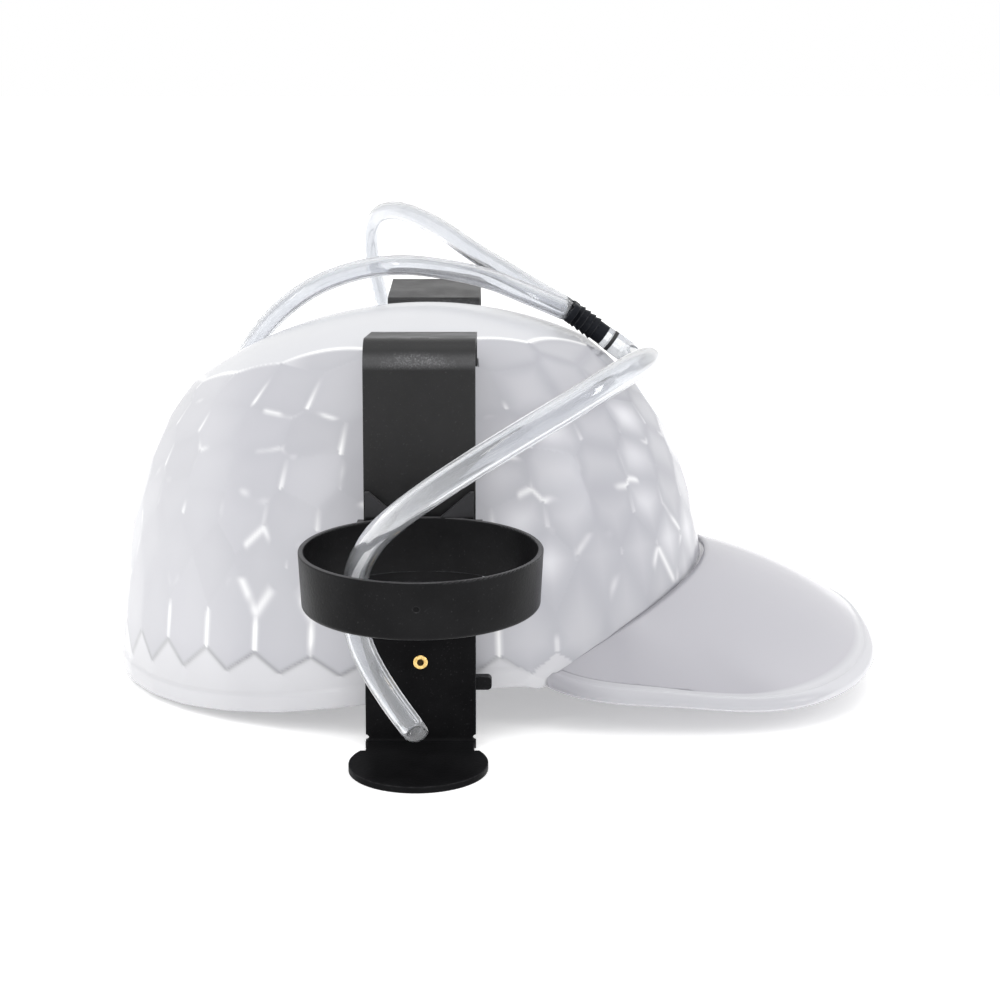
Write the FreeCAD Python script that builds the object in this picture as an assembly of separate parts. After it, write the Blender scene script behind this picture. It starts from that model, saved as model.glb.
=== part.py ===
"""Drinking cap: a clear faceted cap shell with a visor, two black can holders and clear drinking hoses.

Frame: millimetres, +X to the visor, +Z up, the wearer's right side is -Y. The origin is on the floor,
under the middle of the cap. The cap stands on the feet of its two can holders.
"""
import FreeCAD, Part
import math
import os

from FreeCAD import Vector

os.makedirs("parts", exist_ok=True)

# ---- cap shell -------------------------------------------------------------------------------------
DOME_X = -28.5            # middle of the dome
DOME_HALF_LENGTH = 105.0
DOME_HALF_WIDTH = 87.0
DOME_HEIGHT = 130.0
DOME_POWER = 2.65         # fullness of the dome's side profile, 2 is an ellipse
WALL = 2.0
CROWN_X = -24.0
CROWN_RADIUS = 140.0
FACET_ROW_HEIGHTS = (37.5, 53.0, 68.0, 82.0, 95.0, 106.0)
FACET_ROW_COUNTS = (32, 32, 32, 28, 26, 22)
FACET_SINK = 0.7          # how far a facet's flat lies inside the round form
BEVEL_HEIGHT = 116.0      # plain panels between the hexagons and the crown
BEVEL_COUNT = 12
RIM_POINTS = ((-140, 3.0), (-110, 2.6), (-73, 6.0), (-42, 11.0), (-6, 15.7), (12, 15.4), (30, 12.0))
RIM_BEAD_HEIGHT = 6.0
RIM_BEAD_PROUD = 0.8

# ---- visor -----------------------------------------------------------------------------------------
VISOR_TIP_X = 134.3
VISOR_MIDDLE_X = 61.0     # middle of the plan outline
VISOR_HALF_WIDTH = 86.5
VISOR_POWER = 2.7
VISOR_ROOT_X = 14.0
# station along X, height of the middle line's upper face, drop of the arch at ARCH_HALF_WIDTH
VISOR_STATIONS = ((14.0, 54.1, 47.5), (45.0, 49.6, 37.4), (76.5, 43.4, 33.0), (134.5, 15.1, 17.7))
ARCH_HALF_WIDTH = 86.0
SLAB_HALF_WIDTH = 95.0
VISOR_BEAD_WIDTH = 4.0
VISOR_BEAD_PROUD = 0.7

# ---- can holders -----------------------------------------------------------------------------------
HOLDER_X = -23.0
STRAP_WIDTH = 35.0
STRAP_THICK = 2.0
STRAP_FACE = 95.0         # outer face of the strap, distance from the middle plane
STRAP_TOP = 130.5
STRAP_BEND = 8.0
TONGUE_END = 47.7         # inner end of the top tongue
TONGUE_SLOPE = 4.6        # degrees, falls towards the crown
LIP_BOTTOM = 111.5
TONGUE_WINDOW = 5.7
SLOT_CLEARANCE = 0.4
FOOT_RADIUS = 21.5
FOOT_REACH = 20.0         # from the strap's face to the middle of the round foot
FOOT_NECK = 34.0
FOOT_BEND = 3.0
NOTCH = 1.0

# ---- can ring --------------------------------------------------------------------------------------
RING_TOP = 74.8
RING_HEIGHT = 17.0
RING_OUTER = 36.2         # radius at the top
RING_WALL = 1.7
RING_TAPER = 0.975        # radius at the bottom over radius at the top
RING_DROOP = 2.0          # degrees, the ring's front hangs a little
RING_FORWARD = 1.8        # the ring's middle is this far forward of the strap's
SLIDE_GAP = 0.35          # all round the strap, inside the ring's carriage
PLATE_THICK = 2.0
PLATE_WIDTH = 34.0
SKIRT = 3.5               # how far the carriage reaches below the hoop
EAR_HEIGHT = 8.0
HOOK_THICK = 1.8
HOOK_REACH = 4.0
EAR_TIP = 1.2
NOTCH_HALF = 6.5          # half the flat between the two ears
GATE_RADIUS = 1.1         # moulding mark on the ring's front

# ---- rim clip and eyelet ---------------------------------------------------------------------------
EYELET_Z = 27.7
EYELET_HEAD = 2.35        # radius
EYELET_BARREL = 1.55      # radius
EYELET_HOLE = 1.1         # radius
EYELET_HEAD_THICK = 0.5
WASHER_RADIUS = 3.2
WASHER_THICK = 0.5
CLIP_INNER_FACE = 88.9    # the pad's face next to the dome wall
CLIP_REAR_X = -36.0
CLIP_FRONT_X = -9.0
CLIP_PAD_Z = (17.5, 33.0)
CLIP_EAR_X = -0.5
CLIP_EAR_Z = (18.0, 22.2)
JAW_X = (-34.0, -12.0)
JAW_Z = (8.6, 10.6)
GRIP_Y = (81.5, 83.3)
GRIP_TOP = 18.5

# ---- hoses: clear flexible tube --------------------------------------------------------------------
HOSE_RADIUS = 3.75
# from the open end in the right can ring, out over the ring, and back to the connector on the crown
RIGHT_CAN_TUBE = (
    (-22.5, -138, 19), (-33, -134, 31.5), (-41, -136, 49.5), (-40, -145, 69), (-33.5, -164.5, 84),
    (-24, -194, 98), (-11.5, -210, 110), (4, -216, 121), (21, -212, 130.5), (34.5, -198.5, 136.5),
    (42, -180, 137), (43.5, -150.5, 132), (44.5, -108, 125), (48, -62, 116.5), (48.5, -30, 113),
    (48, -6.5, 112.4),
)
# from the open end in the left can ring, up, over the crown and to the connector
LEFT_CAN_TUBE = (
    (-24, 119, 12), (-31, 131, 27), (-37.5, 141, 43), (-41, 147.5, 62), (-42.5, 152, 84),
    (-47, 154.5, 107), (-51.5, 147, 127), (-52.5, 133, 142.5), (-48.5, 115, 153.5), (-40.5, 96, 157),
    (-31, 76, 156), (-20, 58, 152), (-8, 41.5, 145), (3.5, 25, 139.8), (14.5, 11, 134), (26.7, 4.4, 128),
)
# from the connector back over the crown and down behind the cap to the floor
COIL_X = -92.0
COIL_Y = 182.0
COIL_RADIUS = 42.0        # middle of a turn
COIL_LIFT = 0.6           # the tie's band lies under the coil
COIL_STUB = 24.0
MOUTH_TUBE = (
    (26.7, -4.4, 128), (13.5, -1.5, 133.2), (-2, 12, 138.2), (-18, 27, 140), (-34, 37, 140.8), (-50, 38, 139),
    (-66.5, 33, 133.5), (-80.5, 34, 123.5), (-92.5, 44, 109), (-102, 57, 90), (-108, 70, 69),
    (-113, 86, 47), (-123, 105, 27), (-131.5, 129, 14.5),
    (COIL_X - COIL_RADIUS, COIL_Y - COIL_STUB, 3 * HOSE_RADIUS + COIL_LIFT),
)
COIL_TOP_ARC = 130.0      # degrees of the coil with a second turn on top
TIE_THICK = 0.6
TIE_WIDTH = 5.0
TIE_TURN = 135.0          # degrees, where the tie goes round the coil

# ---- connector on the crown ------------------------------------------------------------------------
CONNECTOR_START = (26.7, 0, 128)
CONNECTOR_END = (48, 0, 112.4)
INLET_SPREAD = 4.4        # half the distance between the two inlets
HEAD_LENGTH = 2.4
BARB_COUNT = 4
BARB_PITCH = 2.3
BARB_RADIUS = 4.3
BARREL_RADIUS = 3.7
BARREL_LENGTH = 15.4      # head, barbs and plain stretch
SEAL_LENGTH = 2.4
SEAL_RADIUS = 3.9
GASKET_LENGTH = 1.4
GASKET_RADIUS = 4.0
ELBOW_RADIUS = 4.1
OUTLET_LENGTH = 6.5

# ---- bite valve at the far end of the mouth tube ---------------------------------------------------
TAIL_LENGTH = 30.0
COLLAR_LENGTH = 7.0
COLLAR_RADIUS = 4.3
VALVE_LENGTH = 26.0
VALVE_WIDTH = 15.0
VALVE_HEIGHT = 8.6
VALVE_ROUND = 3.0
SLIT_DEPTH = 3.0
SLIT_WIDTH = 9.0
SLIT_HEIGHT = 0.5


def box(x0, x1, y0, y1, z0, z1):
    """A box between two corners."""
    return Part.makeBox(x1 - x0, y1 - y0, z1 - z0, Vector(x0, y0, z0))


def mirrored(shape):
    """The same shape on the cap's other side."""
    return shape.mirror(Vector(0, 0, 0), Vector(0, 1, 0))


def prism_y(points, y0, y1):
    """A straight-edged outline in X and Z, extruded along Y."""
    outline = [Vector(x, y0, z) for x, z in points]
    return Part.Face(Part.makePolygon(outline + outline[:1])).extrude(Vector(0, y1 - y0, 0))


# ---- shell -----------------------------------------------------------------------------------------
def facet_planes():
    """Outward normals and distances of the planes that cut the dome's facets."""
    planes = []
    rows = list(zip(FACET_ROW_HEIGHTS, FACET_ROW_COUNTS, [FACET_SINK] * len(FACET_ROW_COUNTS)))
    rows.append((BEVEL_HEIGHT, BEVEL_COUNT, 0.0))
    for row, (height, count, sink) in enumerate(rows):
        share = (1 - (height / DOME_HEIGHT) ** DOME_POWER) ** (1 / DOME_POWER)
        for cell in range(count):
            turn = 2 * math.pi * (cell + 0.5 * (row % 2)) / count
            across = DOME_HALF_WIDTH * share * math.sin(turn)
            at = Vector(DOME_HALF_LENGTH * share * math.cos(turn), across, height)
            pull = share ** (DOME_POWER - 2)
            normal = Vector(
                pull * at.x / DOME_HALF_LENGTH ** 2,
                pull * at.y / DOME_HALF_WIDTH ** 2,
                height ** (DOME_POWER - 1) / DOME_HEIGHT ** DOME_POWER,
            ).normalize()
            at = at + Vector(DOME_X, 0, 0)
            planes.append((normal, normal.dot(at) - sink))
    planes.append((Vector(0, 0, 1), DOME_HEIGHT + 1.0))
    planes.append((Vector(0, 0, -1), 10.0))
    return planes


def clipped(polygon, normal, distance):
    """The part of a flat polygon behind a plane."""
    kept = []
    for first, second in zip(polygon, polygon[1:] + polygon[:1]):
        a = normal.dot(first) - distance
        b = normal.dot(second) - distance
        if a <= 0:
            kept.append(first)
        if (a < 0 < b) or (b < 0 < a):
            kept.append(first + (second - first) * (a / (a - b)))
    return kept


def faceted_solid(planes):
    """The convex solid behind all the planes."""
    faces = []
    for index, (normal, distance) in enumerate(planes):
        side = normal.cross(Vector(0.31, 0.27, 0.91)).normalize()
        up = normal.cross(side)
        middle = normal * distance
        polygon = [middle + side * u * 300 + up * v * 300 for u, v in ((1, 1), (-1, 1), (-1, -1), (1, -1))]
        for other, (other_normal, other_distance) in enumerate(planes):
            if other != index and polygon:
                polygon = clipped(polygon, other_normal, other_distance)
        if len(polygon) > 2:
            faces.append(Part.Face(Part.makePolygon(polygon + polygon[:1])))
    shell = Part.makeShell(faces)
    shell.sewShape()
    return Part.makeSolid(shell)


def dome_form(inset):
    """The solid dome, faceted on its sides and round on its crown, drawn in by inset."""
    body = faceted_solid([(normal, distance - inset) for normal, distance in facet_planes()])
    crown = Part.makeSphere(CROWN_RADIUS - inset, Vector(CROWN_X, 0, DOME_HEIGHT - CROWN_RADIUS))
    return body.common(oval_prism(-inset, -12, DOME_HEIGHT + 10)).common(crown)


def oval_prism(grow, z0, z1):
    """The dome's oval plan, grown by a distance and extruded."""
    oval = Part.Ellipse(Vector(DOME_X, 0, z0), DOME_HALF_LENGTH + grow, DOME_HALF_WIDTH + grow)
    return Part.Face(Part.Wire(oval.toShape())).extrude(Vector(0, 0, z1 - z0))


def under_rim(lift):
    """What lies below the dome's wavy rim, raised by lift."""
    curve = Part.BSplineCurve()
    curve.interpolate([Vector(x, -130, z + lift) for x, z in RIM_POINTS])
    start, end = curve.StartPoint, curve.EndPoint
    floor = Part.makePolygon([end, Vector(end.x, -130, -20), Vector(start.x, -130, -20), start])
    return Part.Face(Part.Wire([curve.toShape()] + floor.Edges)).extrude(Vector(0, 260, 0))


def arch(x, z, drop):
    """The visor's arch at one station, a parabola, as an edge with its two ends."""
    fall = drop * (SLAB_HALF_WIDTH / ARCH_HALF_WIDTH) ** 2
    ends = [Vector(x, side * SLAB_HALF_WIDTH, z - fall) for side in (-1, 1)]
    curve = Part.BezierCurve()
    curve.setPoles([ends[0], Vector(x, 0, z + fall), ends[1]])
    return curve.toShape(), ends


def visor_slab(above, below):
    """The arched sheet between two distances from the visor's upper face."""
    sections = []
    for x, z, drop in VISOR_STATIONS:
        top, top_ends = arch(x, z + above, drop)
        bottom, bottom_ends = arch(x, z - below, drop)
        sides = [Part.makeLine(a, b) for a, b in zip(top_ends, bottom_ends)]
        sections.append(Part.Wire(Part.__sortEdges__([top, sides[1], bottom, sides[0]])))
    return Part.makeLoft(sections, True, False)


def visor_outline(inset):
    """The visor's plan outline as a prism."""
    half_length = VISOR_TIP_X - VISOR_MIDDLE_X - inset
    half_width = VISOR_HALF_WIDTH - inset
    points = []
    steps = 24
    for step in range(steps + 1):
        turn = math.pi * (step / steps - 0.5)
        reach = abs(math.cos(turn)) ** (2 / VISOR_POWER)
        spread = math.copysign(abs(math.sin(turn)) ** (2 / VISOR_POWER), turn)
        points.append(Vector(VISOR_MIDDLE_X + half_length * reach, half_width * spread, -20))
    front = Part.BSplineCurve()
    front.interpolate(points)
    flank_x = VISOR_ROOT_X
    share = (1 - ((VISOR_MIDDLE_X - flank_x) / half_length) ** VISOR_POWER) ** (1 / VISOR_POWER)
    middle_share = (1 - ((VISOR_MIDDLE_X - flank_x) / 2 / half_length) ** VISOR_POWER) ** (1 / VISOR_POWER)
    edges = [front.toShape()]
    roots = []
    for end in (points[0], points[-1]):
        side = math.copysign(1, end.y)
        mid = Vector((VISOR_MIDDLE_X + flank_x) / 2, side * half_width * middle_share, -20)
        root = Vector(flank_x, side * half_width * share, -20)
        edges.append(Part.Arc(end, mid, root).toShape())
        roots.append(root)
    edges.append(Part.makeLine(roots[0], roots[1]))
    return Part.Face(Part.Wire(Part.__sortEdges__(edges))).extrude(Vector(0, 0, 120))


def crown_slots():
    """The two slots that the holders' lips drop into."""
    half = STRAP_WIDTH / 2 + SLOT_CLEARANCE
    outer = TONGUE_END + STRAP_THICK
    right = box(HOLDER_X - half, HOLDER_X + half, -outer, -TONGUE_END + SLOT_CLEARANCE, 105, STRAP_TOP)
    return [right, mirrored(right)]


def cap_shell():
    """Dome wall, visor, rim bead and visor bead, moulded as one."""
    inner = dome_form(WALL)
    wall = dome_form(0.0)
    bead = oval_prism(RIM_BEAD_PROUD, -12, 60).cut(oval_prism(-1.0, -12, 60))
    wall = wall.fuse(bead.common(under_rim(RIM_BEAD_HEIGHT)))
    below_visor = visor_slab(-WALL + 0.2, 90.0)
    wall = wall.cut(under_rim(0.0)).cut(below_visor)
    outline = visor_outline(0.0)
    visor = visor_slab(0.0, WALL).common(outline)
    edge = outline.cut(visor_outline(VISOR_BEAD_WIDTH))
    visor_bead = visor_slab(VISOR_BEAD_PROUD, WALL + VISOR_BEAD_PROUD).common(edge)
    shell = wall.fuse([visor, visor_bead]).cut(inner)
    for slot in crown_slots():
        shell = shell.cut(slot)
    return shell


# ---- can holders -----------------------------------------------------------------------------------
def rounded(solid, radius, picks):
    """Round the edges whose middle a test picks."""
    return solid.makeFillet(radius, [edge for edge in solid.Edges if picks(edge.CenterOfMass)])


def along_y(radius, y0, y1, x, z):
    """A cylinder along Y."""
    return Part.makeCylinder(radius, y1 - y0, Vector(x, y0, z), Vector(0, 1, 0))


def holder_strap():
    """The right holder: lip, top tongue, upright strap and round foot, bent from one flat strip."""
    half = STRAP_WIDTH / 2
    slope = math.tan(math.radians(TONGUE_SLOPE))
    outer, inner, end = -STRAP_FACE, STRAP_THICK - STRAP_FACE, -TONGUE_END
    foot = outer - FOOT_REACH
    tongue_top = STRAP_TOP - slope * (STRAP_FACE - TONGUE_END)
    outline = [
        (foot, 0), (foot, STRAP_THICK), (outer, STRAP_THICK), (outer, STRAP_TOP), (end, tongue_top),
        (end, LIP_BOTTOM), (end - STRAP_THICK, LIP_BOTTOM), (end - STRAP_THICK, tongue_top - STRAP_THICK),
        (inner, STRAP_TOP - (1 + slope) * STRAP_THICK), (inner, 0),
    ]
    corners = [Vector(HOLDER_X - half, y, z) for y, z in outline]
    strap = Part.Face(Part.makePolygon(corners + corners[:1])).extrude(Vector(STRAP_WIDTH, 0, 0))
    strap = rounded(strap, STRAP_BEND, lambda c: abs(c.y - outer) < 0.1 and c.z > STRAP_TOP - 0.1)
    strap = rounded(strap, STRAP_BEND - STRAP_THICK, lambda c: abs(c.y - inner) < 0.1 and c.z > 125)
    strap = rounded(strap, STRAP_THICK, lambda c: abs(c.y - end) < 0.1 and c.z > tongue_top - 0.1)
    strap = rounded(strap, FOOT_BEND, lambda c: abs(c.y - inner) < 0.1 and c.z < 0.1)
    inside_bend = FOOT_BEND - STRAP_THICK
    strap = rounded(strap, inside_bend, lambda c: abs(c.y - outer) < 0.1 and c.z < STRAP_THICK + 0.1)
    strap = strap.fuse(Part.makeCylinder(FOOT_RADIUS, STRAP_THICK, Vector(HOLDER_X, foot, 0)))
    neck_half = FOOT_NECK / 2
    neck_end = outer - 1.5 * NOTCH
    for side in (-1, 1):
        edge, beyond = sorted((HOLDER_X + side * neck_half, HOLDER_X + side * (half + 1)))
        strap = strap.cut(box(edge, beyond, foot + FOOT_RADIUS / 2, neck_end, -1, 3 * STRAP_THICK))
        strap = strap.cut(along_y(NOTCH, neck_end - NOTCH, inner + 1, HOLDER_X + side * half, FOOT_BEND))
    window = box(HOLDER_X - TONGUE_WINDOW / 2, HOLDER_X + TONGUE_WINDOW / 2, outer + STRAP_BEND,
                 outer + STRAP_BEND + 1.2, 120, STRAP_TOP + 1)
    hole = along_y(EYELET_BARREL, outer - 4, inner + 4, HOLDER_X, EYELET_Z)
    return strap.cut(window).cut(hole).removeSplitter()


def can_ring():
    """The right can ring and its carriage: a plate with two ears, and hooks that wrap round the strap."""
    face = -(STRAP_FACE + SLIDE_GAP)
    middle = face - RING_OUTER
    bottom = RING_TOP - RING_HEIGHT
    low = RING_OUTER * RING_TAPER
    ring_x = HOLDER_X + RING_FORWARD
    base = Vector(ring_x, middle, bottom)
    outer = Part.makeCone(low, RING_OUTER, RING_HEIGHT, base)
    outer = outer.makeFillet(1.2, [edge for edge in outer.Edges if abs(edge.CenterOfMass.z - bottom) < 0.01])
    ring = outer.cut(Part.makeCone(low - RING_WALL, RING_OUTER - RING_WALL, RING_HEIGHT, base))
    ring = rounded(ring, 0.4, lambda c: abs(c.z - RING_TOP) < 0.01)
    front = middle - (RING_OUTER + low) / 2 - GATE_RADIUS / 2
    ring = ring.cut(Part.makeSphere(GATE_RADIUS, Vector(ring_x, front, bottom + 0.55 * RING_HEIGHT)))
    ring.rotate(Vector(HOLDER_X, face, RING_TOP), Vector(1, 0, 0), RING_DROOP)
    ring = ring.cut(box(HOLDER_X - 60, HOLDER_X + 60, face, 0, 0, 140))

    half = PLATE_WIDTH / 2
    top = RING_TOP + EAR_HEIGHT
    plate = prism_y(
        [(HOLDER_X - half, bottom - SKIRT), (HOLDER_X + half, bottom - SKIRT), (HOLDER_X + half, top),
         (HOLDER_X + half - EAR_TIP, top), (HOLDER_X + NOTCH_HALF, RING_TOP),
         (HOLDER_X - NOTCH_HALF, RING_TOP), (HOLDER_X - half + EAR_TIP, top), (HOLDER_X - half, top)],
        face - PLATE_THICK, face)
    parts = [plate]
    behind = STRAP_THICK - STRAP_FACE + SLIDE_GAP
    z0, z1 = bottom - SKIRT, RING_TOP - 2.0
    inside = STRAP_WIDTH / 2 + SLIDE_GAP
    outside = inside + HOOK_THICK
    for side in (-1, 1):
        for start, stop, y0, y1 in (
            (half - 1, outside, face - PLATE_THICK, face),
            (inside, outside, face - 0.5, behind + HOOK_THICK),
            (STRAP_WIDTH / 2 - HOOK_REACH, outside, behind, behind + HOOK_THICK),
        ):
            x0, x1 = sorted((HOLDER_X + side * start, HOLDER_X + side * stop))
            parts.append(box(x0, x1, y0, y1, z0, z1))
    return ring.fuse(parts).removeSplitter()


def rim_clip():
    """The right rim clip: a pad behind the strap, a front ear, and a jaw under and inside the shell's rim."""
    back = STRAP_THICK - STRAP_FACE
    pad = box(CLIP_REAR_X, CLIP_FRONT_X, back, -CLIP_INNER_FACE, *CLIP_PAD_Z)
    ear = box(CLIP_FRONT_X - 1, CLIP_EAR_X, back, -CLIP_INNER_FACE - 0.6, *CLIP_EAR_Z)
    ear = rounded(ear, 1.4, lambda c: abs(c.x - CLIP_EAR_X) < 0.1 and abs(c.z - sum(CLIP_EAR_Z) / 2) > 1)
    web = box(*JAW_X, back, back + STRAP_THICK, JAW_Z[0], CLIP_PAD_Z[0])
    jaw = box(*JAW_X, back, -GRIP_Y[0], *JAW_Z)
    grip = box(*JAW_X, -GRIP_Y[1], -GRIP_Y[0], JAW_Z[0], GRIP_TOP)
    clip = pad.fuse([ear, web, jaw, grip]).removeSplitter()
    return clip.cut(along_y(EYELET_BARREL, back - 2, -CLIP_INNER_FACE + 2, HOLDER_X, EYELET_Z))


def holder_eyelet():
    """The right brass eyelet, with its head on the strap's face."""
    front = -STRAP_FACE
    head = along_y(EYELET_HEAD, front - EYELET_HEAD_THICK, front, HOLDER_X, EYELET_Z)
    head = head.makeFillet(0.3, [edge for edge in head.Edges if edge.CenterOfMass.y < front - 0.1
                                 and len(edge.Vertexes) == 1])
    end = -CLIP_INNER_FACE + WASHER_THICK
    eyelet = head.fuse(along_y(EYELET_BARREL, front - 0.1, end, HOLDER_X, EYELET_Z)).removeSplitter()
    return eyelet.cut(along_y(EYELET_HOLE, front - 2, end + 1, HOLDER_X, EYELET_Z))


def eyelet_washer():
    """The washer behind the clip's pad, which the eyelet is set over."""
    y0 = -CLIP_INNER_FACE
    washer = along_y(WASHER_RADIUS, y0, y0 + WASHER_THICK, HOLDER_X, EYELET_Z)
    return washer.cut(along_y(EYELET_BARREL, y0 - 1, y0 + WASHER_THICK + 1, HOLDER_X, EYELET_Z))


# ---- hoses -----------------------------------------------------------------------------------------
def hose(name, points):
    """A hose along hand-chosen points: straight runs joined by tangent arcs."""
    corners = [Vector(*point) for point in points]
    edges = []
    radii = []
    start = corners[0]
    for before, corner, after in zip(corners, corners[1:], corners[2:]):
        run_in, run_out = corner - before, after - corner
        half_turn = run_in.getAngle(run_out) / 2
        tangent = 0.45 * min(run_in.Length, run_out.Length)
        radius = tangent / math.tan(half_turn)
        radii.append(round(radius))
        arc_in = corner - run_in.normalize() * tangent
        arc_out = corner + run_out.normalize() * tangent
        inward = ((arc_in + arc_out) * 0.5 - corner).normalize()
        crest = corner + inward * (radius / math.cos(half_turn) - radius)
        edges.append(Part.makeLine(start, arc_in))
        edges.append(Part.Arc(arc_in, crest, arc_out).toShape())
        start = arc_out
    edges.append(Part.makeLine(start, corners[-1]))
    spine = Part.Wire(edges)
    section = Part.Wire(Part.makeCircle(HOSE_RADIUS, corners[0], corners[1] - corners[0]))
    tube = spine.makePipeShell([section], True, True)
    ratio = tube.Volume / (math.pi * HOSE_RADIUS ** 2 * spine.Length)
    print(name, "length", round(spine.Length), "volume ratio", round(ratio, 3), "arc radii", radii)
    return tube


def ring_sector(z0, z1, degrees, end_turn):
    """A square-sectioned part of the coil, over an angle that ends at a turn about the coil's middle."""
    inner, outer = COIL_RADIUS - HOSE_RADIUS, COIL_RADIUS + HOSE_RADIUS
    corners = [Vector(COIL_X + r, COIL_Y, z) for r, z in ((inner, z0), (outer, z0), (outer, z1), (inner, z1))]
    section = Part.Face(Part.makePolygon(corners + corners[:1]))
    middle = Vector(COIL_X, COIL_Y, 0)
    sector = section.revolve(middle, Vector(0, 0, 1), degrees)
    sector.rotate(middle, Vector(0, 0, 1), end_turn - degrees)
    return sector


def mouth_tube_coil():
    """The outer shape of the put-away mouth tube: one turn on the floor, and a part turn on top of it."""
    low = COIL_LIFT
    middle = low + 2 * HOSE_RADIUS
    high = middle + 2 * HOSE_RADIUS
    lower = ring_sector(low, middle, 360, 360)
    upper = ring_sector(middle, high, COIL_TOP_ARC, 180)
    arriving = Part.makeCylinder(HOSE_RADIUS, COIL_STUB, Vector(*MOUTH_TUBE[-1]), Vector(0, 1, 0))
    leaving = Part.makeCylinder(
        HOSE_RADIUS, TAIL_LENGTH, Vector(COIL_X, COIL_Y + COIL_RADIUS, low + HOSE_RADIUS), Vector(1, 0, 0))
    return lower.fuse([upper, arriving, leaving]).removeSplitter()


def coil_tie():
    """The band that holds the coil's turns together."""
    inner_x = COIL_X + COIL_RADIUS - HOSE_RADIUS
    outer_x = COIL_X + COIL_RADIUS + HOSE_RADIUS
    high = COIL_LIFT + 4 * HOSE_RADIUS
    half = TIE_WIDTH / 2
    reach = HOSE_RADIUS * 0.04 + TIE_THICK
    low = COIL_LIFT - TIE_THICK
    band = box(inner_x - reach, outer_x + reach, COIL_Y - half, COIL_Y + half, low, high + TIE_THICK)
    band.rotate(Vector(COIL_X, COIL_Y, 0), Vector(0, 0, 1), TIE_TURN)
    lower = ring_sector(COIL_LIFT, COIL_LIFT + 2 * HOSE_RADIUS, 360, 360)
    upper = ring_sector(COIL_LIFT + 2 * HOSE_RADIUS, high, COIL_TOP_ARC, 180)
    return band.cut(lower.fuse(upper))


# ---- bite valve ------------------------------------------------------------------------------------
def valve_collar():
    """The collar that holds the bite valve on the mouth tube."""
    start = Vector(COIL_X + TAIL_LENGTH, COIL_Y + COIL_RADIUS, COIL_LIFT + HOSE_RADIUS)
    return Part.makeCylinder(COLLAR_RADIUS, COLLAR_LENGTH, start, Vector(1, 0, 0))


def bite_valve():
    """The soft mouthpiece: a flat rounded body with a slit in its end."""
    x0 = COIL_X + TAIL_LENGTH + COLLAR_LENGTH
    y = COIL_Y + COIL_RADIUS
    z = COIL_LIFT + HOSE_RADIUS
    half_width, half_height = VALVE_WIDTH / 2, VALVE_HEIGHT / 2
    valve = box(x0, x0 + VALVE_LENGTH, y - half_width, y + half_width, z - half_height, z + half_height)
    valve = valve.makeFillet(VALVE_ROUND, valve.Edges)
    end = x0 + VALVE_LENGTH
    slit = box(end - SLIT_DEPTH, end + 1, y - SLIT_WIDTH / 2, y + SLIT_WIDTH / 2,
               z - SLIT_HEIGHT / 2, z + SLIT_HEIGHT / 2)
    return valve.cut(slit)


# ---- connector -------------------------------------------------------------------------------------
CONNECTOR_AXIS = (Vector(*CONNECTOR_END) - Vector(*CONNECTOR_START)).normalize()


def rod(start, end, radius, end_radius=None):
    """A cylinder or cone on the connector's axis, between two distances from its start."""
    base = Vector(*CONNECTOR_START) + CONNECTOR_AXIS * start
    if end_radius is None:
        return Part.makeCylinder(radius, end - start, base, CONNECTOR_AXIS)
    return Part.makeCone(radius, end_radius, end - start, base, CONNECTOR_AXIS)


def connector_barrel():
    """The black Y piece: a head with two inlets side by side, barbs, and a plain barrel."""
    middle = rod(0, HEAD_LENGTH, HOSE_RADIUS)
    cheeks = []
    for side in (-1, 1):
        cheek = middle.copy()
        cheek.translate(Vector(0, side * INLET_SPREAD, 0))
        cheeks.append(cheek)
    barbs = []
    for barb in range(BARB_COUNT):
        start = HEAD_LENGTH + BARB_PITCH * barb
        barbs.append(rod(start, start + BARB_PITCH - 0.4, BARREL_RADIUS, BARB_RADIUS))
    return rod(0, BARREL_LENGTH, BARREL_RADIUS).fuse([middle] + cheeks + barbs).removeSplitter()


def connector_seal():
    """The clear ring between the barrel and the gasket."""
    return rod(BARREL_LENGTH, BARREL_LENGTH + SEAL_LENGTH, SEAL_RADIUS)


def connector_gasket():
    """The black ring behind the clear elbow."""
    start = BARREL_LENGTH + SEAL_LENGTH
    return rounded(rod(start, start + GASKET_LENGTH, GASKET_RADIUS), 0.4, lambda c: True)


def connector_elbow():
    """The clear rounded elbow that turns to the right can tube."""
    start = BARREL_LENGTH + SEAL_LENGTH + GASKET_LENGTH
    length = (Vector(*CONNECTOR_END) - Vector(*CONNECTOR_START)).Length
    neck = rod(start, length, ELBOW_RADIUS)
    ball = Part.makeSphere(ELBOW_RADIUS, Vector(*CONNECTOR_END))
    outlet = Part.makeCylinder(ELBOW_RADIUS, OUTLET_LENGTH, Vector(*CONNECTOR_END), Vector(0, -1, 0))
    return neck.fuse([ball, outlet]).removeSplitter()


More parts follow.
